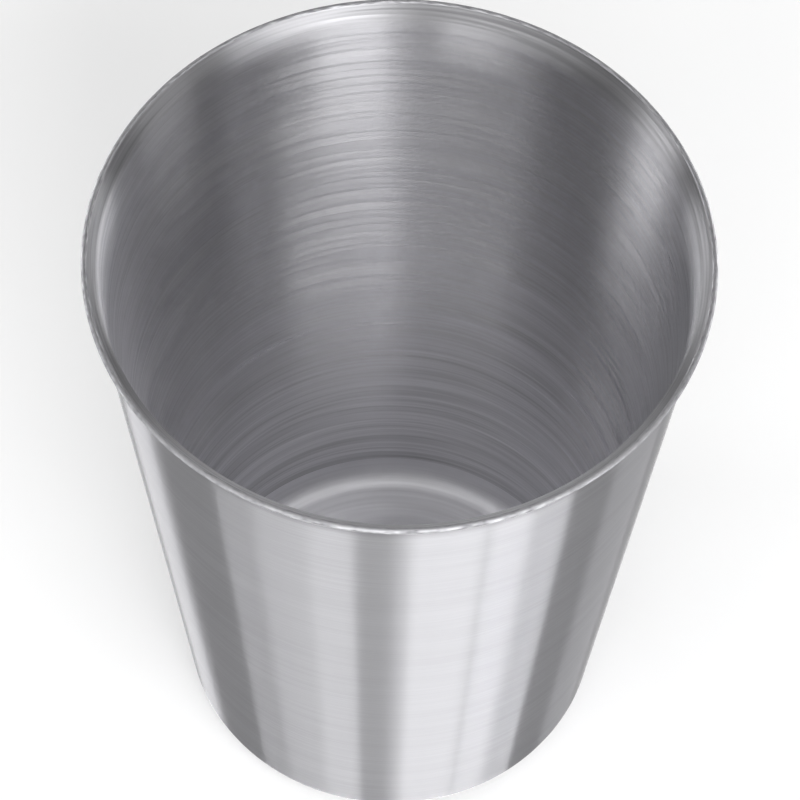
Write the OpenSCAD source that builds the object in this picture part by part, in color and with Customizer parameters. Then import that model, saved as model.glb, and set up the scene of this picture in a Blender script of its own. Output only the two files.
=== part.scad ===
// Shot cup, drawn from one disc of stainless steel sheet.
// A tapered wall, a flared drinking lip with a rounded edge, and a foot ring round a base that is dished up.
// Millimetres, +Z up, origin on the cup's axis at the plane that the foot stands on.

/* [Cup] */
// Outside diameter across the lip
rim_d = 38; // [32:0.5:60]
// Height from the table to the top of the lip
cup_h = 45; // [25:0.5:90]
// Diameter at which the outside of the wall would meet the table, with no corner radius
foot_d = 25.5; // [20:0.5:36]
// Thickness of the sheet
sheet = 0.4; // [0.3:0.05:0.7]

/* [Lip] */
// Lean of the lip away from the cup's axis
lip_angle = 45; // [15:1:70]
// Length of the lip along its outer face, from the sharp line of its bend to the rounded edge
lip_len = 0.8; // [0.5:0.1:2.5]
// Radius of the bend under the lip, on the hollow outer face
lip_bend_r = 0.6; // [0.3:0.1:1.5]

/* [Foot] */
// Radius of the corner between the foot and the wall, on the outer face
corner_r = 2; // [1:0.1:4]
// Width of the flat ring that the cup stands on
ring_w = 1.5; // [0.5:0.1:4]
// Height of the dish above the table, under its flat middle
dish_rise = 0.5; // [0.3:0.1:1.2]
// Slope of the dish's side
dish_angle = 10; // [6:1:16]
// Radius of the bends at the foot and the top of the dish's side, on the hollow face of each
dish_bend_r = 6; // [1:0.5:12]

/* [Hidden] */
steel_grey = [0.71, 0.71, 0.73];
// Facets round the cup, and the turn of each facet of a bend in its section
$fn = 180;
facet_turn = 7.5;

// The lip ends in a half round, whose middle lies half a sheet inside the rim and the top.
edge_middle = [rim_d / 2 - sheet / 2, cup_h - sheet / 2];
lip_end = edge_middle + sheet / 2 * [cos(lip_angle), -sin(lip_angle)];
lip_start = lip_end - lip_len * [sin(lip_angle), cos(lip_angle)];
wall_start = [foot_d / 2, 0];
wall_lean = atan2(lip_start.x - wall_start.x, lip_start.y - wall_start.y);

// Length that a bend of radius r takes from each of the two straights that it joins.
function bend_reach(r, turn) = r * tan(abs(turn) / 2);

// The foot is laid out inwards from the wall: corner, flat ring, side of the dish, flat middle.
dish_foot_r = dish_bend_r + sheet;
ring_start = wall_start - [bend_reach(corner_r, 90 - wall_lean) + ring_w, 0];
dish_foot = ring_start - [bend_reach(dish_foot_r, dish_angle), 0];
dish_top = dish_foot + dish_rise * [-1 / tan(dish_angle), 1];
dish_middle = [0, dish_rise];

// Outer face of the sheet from the dish's middle to the lip's edge, with its corners left sharp,
// and the radius of that face at each corner. The sheet lies to the left of this line.
outer_face = [dish_middle, dish_top, dish_foot, wall_start, lip_start, lip_end];
outer_radii = [0, dish_bend_r, dish_foot_r, corner_r, lip_bend_r, 0];
bends = [1 : len(outer_face) - 2];
bends_back = [len(outer_face) - 2 : -1 : 1];

// Heading of the straight that leaves corner i, and the turn at corner i, which is positive to the left.
function heading(i) =
    atan2(outer_face[i + 1].y - outer_face[i].y, outer_face[i + 1].x - outer_face[i].x);
function turn_at(i) = heading(i) - heading(i - 1);

// Middle of the bend at corner i. Both faces of the sheet curve round it.
function bend_middle(i) =
    let (h = heading(i - 1), side = sign(turn_at(i)), r = outer_radii[i])
    outer_face[i] - bend_reach(r, turn_at(i)) * [cos(h), sin(h)] + side * r * [-sin(h), cos(h)];

// Points round the bend at corner i, on the face that lies depth inside the outer one.
function bend_points(i, depth) =
    let (side = sign(turn_at(i)), r = outer_radii[i] - side * depth,
         steps = ceil(abs(turn_at(i)) / facet_turn))
    [for (k = [0 : steps])
        let (h = heading(i - 1) + turn_at(i) * k / steps)
        bend_middle(i) + side * r * [sin(h), -cos(h)]];

// Points round the half round at the lip's edge, from the outer face to the inner one.
function edge_points() =
    let (steps = ceil(180 / facet_turn))
    [for (k = [1 : steps - 1])
        let (a = -lip_angle + 180 * k / steps)
        edge_middle + sheet / 2 * [cos(a), sin(a)]];

function reversed(points) = [for (k = [len(points) - 1 : -1 : 0]) points[k]];

// Section through one side of the sheet: out along its outer face, round the edge, back along its inner face.
module sheet_section() {
    inner_end = 2 * edge_middle - lip_end;
    polygon(concat(
        [dish_middle],
        [for (i = bends) each bend_points(i, 0)],
        [lip_end],
        edge_points(),
        [inner_end],
        [for (i = bends_back) each reversed(bend_points(i, sheet))],
        [dish_middle + [0, sheet]]
    ));
}

module cup_body() {
    color(steel_grey)
        rotate_extrude()
            sheet_section();
}

cup_body();
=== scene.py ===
import math
from collections import namedtuple

import bpy
from mathutils import Matrix, Vector, noise


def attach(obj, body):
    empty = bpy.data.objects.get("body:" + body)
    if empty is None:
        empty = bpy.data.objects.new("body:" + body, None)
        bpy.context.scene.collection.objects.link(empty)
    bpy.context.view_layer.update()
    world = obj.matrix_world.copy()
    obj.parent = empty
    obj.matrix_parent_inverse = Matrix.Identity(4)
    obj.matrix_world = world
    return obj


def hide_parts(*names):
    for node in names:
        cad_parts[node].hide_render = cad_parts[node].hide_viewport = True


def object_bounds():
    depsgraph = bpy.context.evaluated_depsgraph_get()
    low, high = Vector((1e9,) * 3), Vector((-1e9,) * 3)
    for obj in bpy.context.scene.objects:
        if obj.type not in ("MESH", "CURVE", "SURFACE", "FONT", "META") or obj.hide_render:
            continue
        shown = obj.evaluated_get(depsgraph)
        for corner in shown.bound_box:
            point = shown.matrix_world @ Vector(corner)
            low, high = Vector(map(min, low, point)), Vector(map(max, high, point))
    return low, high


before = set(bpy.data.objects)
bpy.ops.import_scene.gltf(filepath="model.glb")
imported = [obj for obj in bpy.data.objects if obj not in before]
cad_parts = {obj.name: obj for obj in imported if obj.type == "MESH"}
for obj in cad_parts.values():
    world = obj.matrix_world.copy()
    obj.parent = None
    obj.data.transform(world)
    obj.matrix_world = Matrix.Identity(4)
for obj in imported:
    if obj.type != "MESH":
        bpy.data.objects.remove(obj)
cad_low, cad_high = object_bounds()

# A shot cup drawn from one disc of steel sheet. Metres and radians, +Z up, axis on Z, foot on Z = 0.
MM = 0.001

# Section of the sheet, as in the part's source
RIM_RADIUS = cad_high.x
CUP_HEIGHT = cad_high.z
FOOT_RADIUS = 12.75 * MM
SHEET = 0.4 * MM
LIP_ANGLE = math.radians(45)
LIP_LENGTH = 0.8 * MM
LIP_BEND_RADIUS = 0.6 * MM
CORNER_RADIUS = 2 * MM
FOOT_RING_WIDTH = 1.5 * MM
DISH_RISE = 0.5 * MM
DISH_ANGLE = math.radians(10)
DISH_BEND_RADIUS = 6 * MM

# Mesh: divisions round the axis, turn of a bend's facet, facets of the lip's edge, and length of a
# straight's facet
SEGMENTS = 264
FACET_TURN = math.radians(7.5)
EDGE_FACETS = 12
ROW_OUTSIDE = 0.6 * MM
ROW_INSIDE = 0.25 * MM

# Zones of the sheet's skin, in the order of the mesh's materials
UNDERSIDE, OUTSIDE, EDGE, LIP, INSIDE, FLOOR = range(6)

# Drawing marks: shallow waves that the punch leaves on the inner wall, with their pitch up the wall, their
# run round it and their depth
DrawMark = namedtuple("DrawMark", "pitch run depth")
DRAW_MARKS = (
    DrawMark(pitch=2.6 * MM, run=50 * MM, depth=0.014 * MM),
    DrawMark(pitch=1.1 * MM, run=35 * MM, depth=0.009 * MM),
)

# Rings where the draw paused: their heights, width and depth, and how their strength changes round the wall
PAUSE_HEIGHTS = (40.8 * MM, 39.2 * MM, 33.3 * MM, 30.8 * MM)
PAUSE_WIDTH = 0.4 * MM
PAUSE_DEPTH = 0.036 * MM
PAUSE_RUN = 9 * MM
PAUSE_STRENGTH = 0.6
PAUSE_CHANGE = 0.8

# Trimmed edge: run and size of its unevenness
BURR_RUN = 1.2 * MM
BURR_SIZE = 0.02 * MM

# Steel: how much each zone mirrors, as a colour. The outside and the edge have the steel's own colour; the
# inside is painted lighter and the cup's floor much lighter, which is painted light.
STEEL_OUTSIDE = (0.4, 0.398, 0.414)
STEEL_INSIDE = (0.64, 0.637, 0.66)
STEEL_BASE = (0.88, 0.876, 0.9)
STEEL_EDGE = (0.4, 0.398, 0.414)

# Brush strokes: a layer's pitch along the section and run round the axis, and how far it tilts the surface
# and changes its shade
Strokes = namedtuple("Strokes", "pitch run tilt change")
STROKE_GAIN = 4.0

# The heights between which the steel's colour is painted darker towards the lip, and the shade that it ends
# at. On the inside this fades the wall's painted light out at the lip; on the outside it is a painted
# shadow under the lip's overhang. The steel gets rougher with it.
INSIDE_PAINTED_LIGHT_FADE = (CUP_HEIGHT - 2 * MM, CUP_HEIGHT - 0.5 * MM, 0.7)
OUTSIDE_PAINTED_SHADOW = (CUP_HEIGHT - 2.1 * MM, CUP_HEIGHT - 1.5 * MM, 0.8)

# How steeply the outside mirrors more towards glancing views, and the share of its roughness lost there
GLANCE_POWER = 20.0
GLANCE_CALM = 0.6

# Stage
FLOOR_RADIUS = 2.0
FLOOR_SIDES = 96
FLOOR_DROP = 0.02 * MM
FLOOR_COLOUR = (0.82, 0.82, 0.82, 1)
FLOOR_GLOW = 0.18
WORLD_RADIANCE = 0.08
LIGHT_DISTANCE = 0.8

# Camera, found by fitting the cup's section to its outline in the photo. Its sensor is in millimetres.
CAMERA_REACH = 429.607 * MM
CAMERA_RISE = math.radians(56.862)
CAMERA_PITCH = math.radians(57.984)
CAMERA_YAW = math.radians(0.0581)
CAMERA_ROLL = math.radians(1.51)
CLIP_START = 10 * MM
SENSOR_WIDTH = 36
IMAGE_SIZE = 800
FOCAL_PIXELS = 7208.96


def heading(a, b):
    return math.atan2(b.y - a.y, b.x - a.x)


def direction(angle):
    return Vector((math.cos(angle), math.sin(angle)))


def bend_reach(radius, turn):
    """Length that a bend takes from each of the two straights that it joins."""
    return radius * math.tan(abs(turn) / 2)


def bend(before, corner, after, radius, depth):
    """Points round a bend of the sheet, on the face that lies depth inside the outer one."""
    start = heading(before, corner)
    turn = heading(corner, after) - start
    side = math.copysign(1, turn)
    bend_start = corner - bend_reach(radius, turn) * direction(start)
    middle = bend_start + side * radius * direction(start + math.pi / 2)
    steps = math.ceil(abs(turn) / FACET_TURN)
    angles = [start + turn * k / steps - math.pi / 2 for k in range(steps + 1)]
    return [middle + side * (radius - side * depth) * direction(a) for a in angles]


def straight(a, b, row):
    """Points between two ends, without the ends."""
    count = max(1, round((b - a).length / row))
    return [a.lerp(b, k / count) for k in range(1, count)]


def sheet_rows():
    """Rows of the sheet's skin, from below the base to above it: a point, and the zone that follows it."""
    edge_middle = Vector((RIM_RADIUS - SHEET / 2, CUP_HEIGHT - SHEET / 2))
    lip_end = edge_middle + SHEET / 2 * direction(-LIP_ANGLE)
    lip_start = lip_end - LIP_LENGTH * direction(math.pi / 2 - LIP_ANGLE)
    wall_start = Vector((FOOT_RADIUS, 0))
    wall_turn = heading(wall_start, lip_start)
    dish_foot_radius = DISH_BEND_RADIUS + SHEET
    foot_run = (bend_reach(CORNER_RADIUS, wall_turn) + FOOT_RING_WIDTH
                + bend_reach(dish_foot_radius, DISH_ANGLE))
    dish_foot = wall_start - Vector((foot_run, 0))
    dish_top = dish_foot + DISH_RISE * Vector((-1 / math.tan(DISH_ANGLE), 1))
    middle_below = Vector((0, DISH_RISE))
    middle_above = middle_below + Vector((0, SHEET))

    corners = [middle_below, dish_top, dish_foot, wall_start, lip_start, lip_end]
    radii = [DISH_BEND_RADIUS, dish_foot_radius, CORNER_RADIUS, LIP_BEND_RADIUS]
    rows = []

    def bends(depth):
        return [bend(*corners[i:i + 3], radius, depth) for i, radius in enumerate(radii)]

    def add(points, zone):
        rows.extend((p, zone) for p in points)

    def follow(points, end, zone, row):
        """Adds points, and then those of the straight from the last of them to an end."""
        add(points + straight(points[-1], end, row), zone)

    dish_in, dish_out, foot_corner, lip_bend = bends(0)
    follow([middle_below], dish_in[0], UNDERSIDE, ROW_OUTSIDE)
    follow(dish_in, dish_out[0], UNDERSIDE, ROW_INSIDE)
    follow(dish_out, foot_corner[0], UNDERSIDE, ROW_INSIDE)
    follow(foot_corner, lip_bend[0], OUTSIDE, ROW_OUTSIDE)
    follow(lip_bend, lip_end, OUTSIDE, ROW_INSIDE)

    edge_angles = [math.pi * k / EDGE_FACETS - LIP_ANGLE for k in range(EDGE_FACETS)]
    add([edge_middle + SHEET / 2 * direction(a) for a in edge_angles], EDGE)

    dish_in, dish_out, foot_corner, lip_bend = [points[::-1] for points in bends(SHEET)]
    follow([2 * edge_middle - lip_end], lip_bend[0], LIP, ROW_INSIDE)
    add(lip_bend[:-1], LIP)
    follow(lip_bend[-1:], foot_corner[0], INSIDE, ROW_INSIDE)
    follow(foot_corner, dish_out[0], FLOOR, ROW_INSIDE)
    follow(dish_out, dish_in[0], FLOOR, ROW_INSIDE)
    follow(dish_in, middle_above, FLOOR, ROW_OUTSIDE)
    add([middle_above], FLOOR)
    return rows


def draw_marks(spot):
    """Depth of the drawing marks at a spot of the inner wall."""
    depth = 0
    for mark in DRAW_MARKS:
        place = Vector((spot.x / mark.run, spot.y / mark.run, spot.z / mark.pitch))
        depth += mark.depth * noise.noise(place)
    for height in PAUSE_HEIGHTS:
        place = Vector((spot.x / PAUSE_RUN, spot.y / PAUSE_RUN, height / MM))
        strength = PAUSE_STRENGTH + PAUSE_CHANGE * noise.noise(place)
        depth += PAUSE_DEPTH * strength * math.exp(-((spot.z - height) / PAUSE_WIDTH) ** 2)
    return depth


def cup_vertices(rows):
    """The rows turned round the axis, with the drawing marks and the uneven trimmed edge."""
    vertices = [Vector((0, 0, rows[0][0].y))]
    for point, zone in rows[1:-1]:
        for k in range(SEGMENTS):
            around = direction(2 * math.pi * k / SEGMENTS)
            spot = Vector((point.x * around.x, point.x * around.y, point.y))
            if zone == INSIDE:
                spot.xy -= draw_marks(spot) * around
            if zone == EDGE:
                spot.z -= BURR_SIZE * abs(noise.noise(spot / BURR_RUN))
            vertices.append(spot)
    vertices.append(Vector((0, 0, rows[-1][0].y)))
    return vertices


def cup_faces(rows):
    """Faces between the rows, and the zone of each. The first and the last row are points on the axis."""
    faces = []
    zones = []
    rings = len(rows) - 2
    last_ring = 1 + (rings - 1) * SEGMENTS
    last_point = 1 + rings * SEGMENTS
    for k in range(SEGMENTS):
        n = (k + 1) % SEGMENTS
        faces.append((0, 1 + n, 1 + k))
        faces.append((last_ring + k, last_ring + n, last_point))
        zones += [UNDERSIDE, FLOOR]
        for i in range(rings - 1):
            ring = 1 + i * SEGMENTS
            above = ring + SEGMENTS
            faces.append((ring + k, ring + n, above + n, above + k))
            zones.append(rows[i + 1][1])
    return faces, zones


class Shader:
    """A new material's nodes, added and linked in one call each."""

    def __init__(self, name):
        self.material = bpy.data.materials.new(name)
        self.material.use_nodes = True
        self.tree = self.material.node_tree
        self.surface = self.tree.nodes["Principled BSDF"]

    def add(self, kind, operation=None, **inputs):
        """Adds a node. An input is named, or numbered with an underscore before its number."""
        node = self.tree.nodes.new(kind)
        if operation:
            node.operation = operation
        for name, value in inputs.items():
            self.set(node, int(name[1:]) if name[0] == "_" else name, value)
        return node

    def set(self, node, name, value):
        if isinstance(value, bpy.types.NodeSocket):
            self.tree.links.new(value, node.inputs[name])
        else:
            node.inputs[name].default_value = value

    def math(self, operation, a, b=0.0, c=0.0):
        return self.add("ShaderNodeMath", operation, _0=a, _1=b, _2=c).outputs[0]

    def vector(self, operation, a, b=(0, 0, 0)):
        return self.add("ShaderNodeVectorMath", operation, _0=a, _1=b).outputs[0]

    def scaled(self, vector, factor):
        return self.add("ShaderNodeVectorMath", "SCALE", _0=vector, Scale=factor).outputs[0]

    def gloss(self):
        """Puts a Glossy BSDF in the Principled one's place."""
        self.tree.nodes.remove(self.surface)
        self.surface = self.add("ShaderNodeBsdfAnisotropic")
        self.set(self.tree.nodes["Material Output"], "Surface", self.surface.outputs[0])

    def tangent(self):
        """Direction round the axis."""
        node = self.add("ShaderNodeTangent")
        node.direction_type = "RADIAL"
        node.axis = "Z"
        return node.outputs[0]

    def place(self):
        """X, Y and Z on the object."""
        spot = self.add("ShaderNodeTexCoord").outputs["Object"]
        return self.add("ShaderNodeSeparateXYZ", _0=spot).outputs

    def fade(self, low, high, end):
        """Goes from 1 at one height to an end value at another."""
        height = self.place()["Z"]
        return self.add("ShaderNodeMapRange", _0=height, _1=low, _2=high, _3=1.0, _4=end).outputs[0]

    def strokes(self, pitch, run):
        """Noise drawn out round the axis, from about -1 to 1."""
        x, y, z = self.place()
        square = self.math("MULTIPLY_ADD", x, x, self.math("MULTIPLY", y, y))
        along = self.math("ADD", self.math("SQRT", square), z)
        stretched = self.add(
            "ShaderNodeCombineXYZ",
            _0=self.math("DIVIDE", x, run),
            _1=self.math("DIVIDE", y, run),
            _2=self.math("DIVIDE", along, pitch),
        ).outputs[0]
        value = self.add("ShaderNodeTexNoise", Vector=stretched, Scale=1.0, Detail=1.0).outputs[0]
        return self.math("MULTIPLY_ADD", value, STROKE_GAIN, -STROKE_GAIN / 2)


def steel(name, colour, spread_round, spread_along, layers, painted_lip_shade=None, glance=False):
    """Steel brushed round the axis.

    It blurs what it mirrors by one spread round the axis and another along the section.
    """
    s = Shader(name)
    s.gloss()
    tangent = s.tangent()
    normal = s.add("ShaderNodeNewGeometry").outputs["Normal"]
    across = s.vector("CROSS_PRODUCT", normal, tangent)
    shade = 1.0
    for layer in layers:
        value = s.strokes(layer.pitch, layer.run)
        normal = s.vector("ADD", normal, s.scaled(across, s.math("MULTIPLY", value, layer.tilt)))
        shade = s.math("MULTIPLY_ADD", value, layer.change, shade)
    # The colour is painted darker towards the lip, and the roughness rises with it.
    if painted_lip_shade:
        shade = s.math("MULTIPLY", shade, s.fade(*painted_lip_shade))
    shown = s.scaled(colour, shade)
    roughness = s.math("DIVIDE", (spread_round * spread_along) ** 0.25, shade)
    if glance:
        edge_on = s.math("POWER", s.add("ShaderNodeLayerWeight").outputs["Facing"], GLANCE_POWER)
        shown = s.vector("ADD", shown, s.scaled([1 - c for c in colour], edge_on))
        calm = s.math("MULTIPLY_ADD", edge_on, -GLANCE_CALM, 1.0)
        roughness = s.math("MULTIPLY", roughness, calm)
    s.set(s.surface, "Tangent", tangent)
    s.set(s.surface, "Normal", s.vector("NORMALIZE", normal))
    s.set(s.surface, "Color", shown)
    s.set(s.surface, "Roughness", roughness)
    s.set(s.surface, "Anisotropy", 1 - math.sqrt(spread_round / spread_along))
    return s.material


def inside_finish():
    """Finish of the inner wall and the lip."""
    layers = [
        Strokes(pitch=0.2 * MM, run=9 * MM, tilt=0.045, change=0.12),
        Strokes(pitch=0.6 * MM, run=16 * MM, tilt=0.055, change=0.16),
        Strokes(pitch=2.2 * MM, run=40 * MM, tilt=0.0, change=0.06),
    ]
    # Its colour is painted lighter than the outside's, and that painted light fades out towards the lip.
    return steel("inside", STEEL_INSIDE, spread_round=0.035, spread_along=0.4, layers=layers,
                 painted_lip_shade=INSIDE_PAINTED_LIGHT_FADE)


def underside_finish():
    layers = [Strokes(pitch=0.25 * MM, run=8 * MM, tilt=0.04, change=0.05)]
    return steel("underside", STEEL_OUTSIDE, spread_round=0.05, spread_along=0.3, layers=layers)


def outside_finish():
    layers = [
        Strokes(pitch=0.15 * MM, run=8 * MM, tilt=0.03, change=0.04),
        Strokes(pitch=1.2 * MM, run=40 * MM, tilt=0.0, change=0.02),
    ]
    # A painted shadow darkens it just under the lip's overhang.
    return steel("outside", STEEL_OUTSIDE, spread_round=0.018, spread_along=0.8, layers=layers,
                 painted_lip_shade=OUTSIDE_PAINTED_SHADOW, glance=True)


def edge_finish():
    layers = [Strokes(pitch=0.1 * MM, run=0.6 * MM, tilt=0.25, change=0.25)]
    return steel("edge", STEEL_EDGE, spread_round=0.3, spread_along=0.4, layers=layers, glance=True)


def floor_finish():
    """Finish of the cup's own floor, which blurs almost as much round the axis as along the section."""
    layers = [Strokes(pitch=0.25 * MM, run=8 * MM, tilt=0.02, change=0.06)]
    # Its colour is painted much lighter than the rest of the steel, which is painted light.
    return steel("floor_panel", STEEL_BASE, spread_round=0.22, spread_along=0.28, layers=layers)


def make_cup():
    """The whole cup: the sheet's section turned round the axis, with a finish for each zone."""
    inside = inside_finish()
    lip = inside
    finishes = [underside_finish(), outside_finish(), edge_finish(), lip, inside, floor_finish()]
    rows = sheet_rows()
    faces, zones = cup_faces(rows)
    mesh = bpy.data.meshes.new("cup")
    mesh.from_pydata(cup_vertices(rows), [], faces)
    for finish in finishes:
        mesh.materials.append(finish)
    mesh.polygons.foreach_set("material_index", zones)
    mesh.polygons.foreach_set("use_smooth", [True] * len(faces))
    mesh.update()
    cup = bpy.data.objects.new("cup", mesh)
    bpy.context.scene.collection.objects.link(cup)
    return cup


def make_floor():
    """The pale floor under the cup. It glows a little where it is seen, so that it shows as white."""
    corners = [FLOOR_RADIUS * direction(2 * math.pi * k / FLOOR_SIDES) for k in range(FLOOR_SIDES)]
    level = cad_low.z - FLOOR_DROP
    mesh = bpy.data.meshes.new("floor")
    mesh.from_pydata([(p.x, p.y, level) for p in corners], [], [tuple(range(FLOOR_SIDES))])
    s = Shader("floor")
    rays = s.add("ShaderNodeLightPath").outputs
    seen = s.math("MAXIMUM", rays["Is Camera Ray"], rays["Is Glossy Ray"])
    seen = s.math("MAXIMUM", seen, rays["Is Transmission Ray"])
    s.set(s.surface, "Base Color", FLOOR_COLOUR)
    s.set(s.surface, "Roughness", 1.0)
    s.set(s.surface, "Specular IOR Level", 0.0)
    s.set(s.surface, "Emission Color", (1, 1, 1, 1))
    s.set(s.surface, "Emission Strength", s.math("MULTIPLY", seen, FLOOR_GLOW))
    mesh.materials.append(s.material)
    floor = bpy.data.objects.new("floor", mesh)
    bpy.context.scene.collection.objects.link(floor)


def softbox(name, azimuth, elevation, width, height, radiance):
    """An evenly lit panel that faces the cup.

    Its place and size are in degrees, as seen from the cup. Azimuth 0 is the camera's side, 90 its right.
    """
    a = math.radians(azimuth)
    e = math.radians(elevation)
    away = Vector((math.sin(a) * math.cos(e), -math.cos(a) * math.cos(e), math.sin(e)))
    data = bpy.data.lights.new(name, "AREA")
    data.shape = "RECTANGLE"
    data.size = 2 * LIGHT_DISTANCE * math.tan(math.radians(width) / 2)
    data.size_y = 2 * LIGHT_DISTANCE * math.tan(math.radians(height) / 2)
    data.energy = radiance * math.pi * data.size * data.size_y
    lamp = bpy.data.objects.new(name, data)
    bpy.context.scene.collection.objects.link(lamp)
    lamp.location = Vector((0, 0, CUP_HEIGHT / 2)) + LIGHT_DISTANCE * away
    lamp.rotation_euler = away.to_track_quat("Z", "Y").to_euler()
    lamp.visible_camera = False


def make_light():
    world = bpy.data.worlds.new("studio")
    world.use_nodes = True
    grey = (WORLD_RADIANCE, WORLD_RADIANCE, WORLD_RADIANCE, 1)
    world.node_tree.nodes["Background"].inputs["Color"].default_value = grey
    bpy.context.scene.world = world

    # Low in front, for the stripes on the outside
    softbox("right_box", azimuth=17, elevation=20, width=21, height=34, radiance=4.1)
    softbox("right_strip", azimuth=41, elevation=3, width=25.2, height=4, radiance=32)
    softbox("left_box", azimuth=-17.5, elevation=5.5, width=13, height=9, radiance=10.5)
    softbox("left_dim_box", azimuth=-28.5, elevation=5.5, width=9, height=9, radiance=7.5)
    softbox("left_strip", azimuth=-43.5, elevation=3, width=21, height=4, radiance=14)

    # Above those and at the sides, for the inner wall and the sides of the outside
    softbox("front_fill", azimuth=-2, elevation=26, width=15, height=24, radiance=0.5)
    softbox("left_fill", azimuth=-19, elevation=26, width=16, height=24, radiance=0.8)
    softbox("right_edge", azimuth=80, elevation=14, width=19, height=22, radiance=1.5)
    softbox("high_right", azimuth=24, elevation=46, width=32, height=16, radiance=7.5)
    softbox("high_left", azimuth=-19.5, elevation=44.5, width=39, height=15, radiance=3.7)
    softbox("side_box", azimuth=-88, elevation=22, width=14, height=26, radiance=5)

    # Behind the cup, for its lip and its back
    softbox("back_right", azimuth=124, elevation=4.5, width=34, height=11, radiance=11)
    softbox("back_left", azimuth=-124, elevation=4.5, width=34, height=11, radiance=11)
    softbox("back_fill", azimuth=180, elevation=14, width=60, height=24, radiance=0.6)

    # Overhead, for its floor
    softbox("back_top", azimuth=180, elevation=76, width=44, height=50, radiance=0.5)
    softbox("front_top", azimuth=-12, elevation=66, width=50, height=28, radiance=0.5)
    softbox("right_top", azimuth=90, elevation=66, width=40, height=28, radiance=1.0)
    softbox("left_top", azimuth=-90, elevation=66, width=40, height=28, radiance=0.6)


def make_camera():
    rim_middle = Vector((0, 0, CUP_HEIGHT))
    eye = rim_middle + CAMERA_REACH * Vector((0, -math.cos(CAMERA_RISE), math.sin(CAMERA_RISE)))
    level = math.cos(CAMERA_PITCH)
    ahead = Vector((math.sin(CAMERA_YAW) * level, math.cos(CAMERA_YAW) * level, -math.sin(CAMERA_PITCH)))
    right = ahead.cross(Vector((0, 0, 1))).normalized()
    up = right.cross(ahead)
    turned_right = math.cos(CAMERA_ROLL) * right + math.sin(CAMERA_ROLL) * up
    turned_up = math.cos(CAMERA_ROLL) * up - math.sin(CAMERA_ROLL) * right
    turn = Matrix((turned_right, turned_up, -ahead)).transposed().to_4x4()
    data = bpy.data.cameras.new("camera")
    data.sensor_width = SENSOR_WIDTH
    data.lens = SENSOR_WIDTH * FOCAL_PIXELS / IMAGE_SIZE
    data.clip_start = CLIP_START
    camera = bpy.data.objects.new("camera", data)
    bpy.context.scene.collection.objects.link(camera)
    camera.matrix_world = Matrix.Translation(eye) @ turn
    bpy.context.scene.camera = camera


bpy.context.scene.view_settings.view_transform = "Standard"
make_camera()
make_floor()
make_light()
cup = make_cup()
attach(cup, "root")
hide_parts("cup_body")
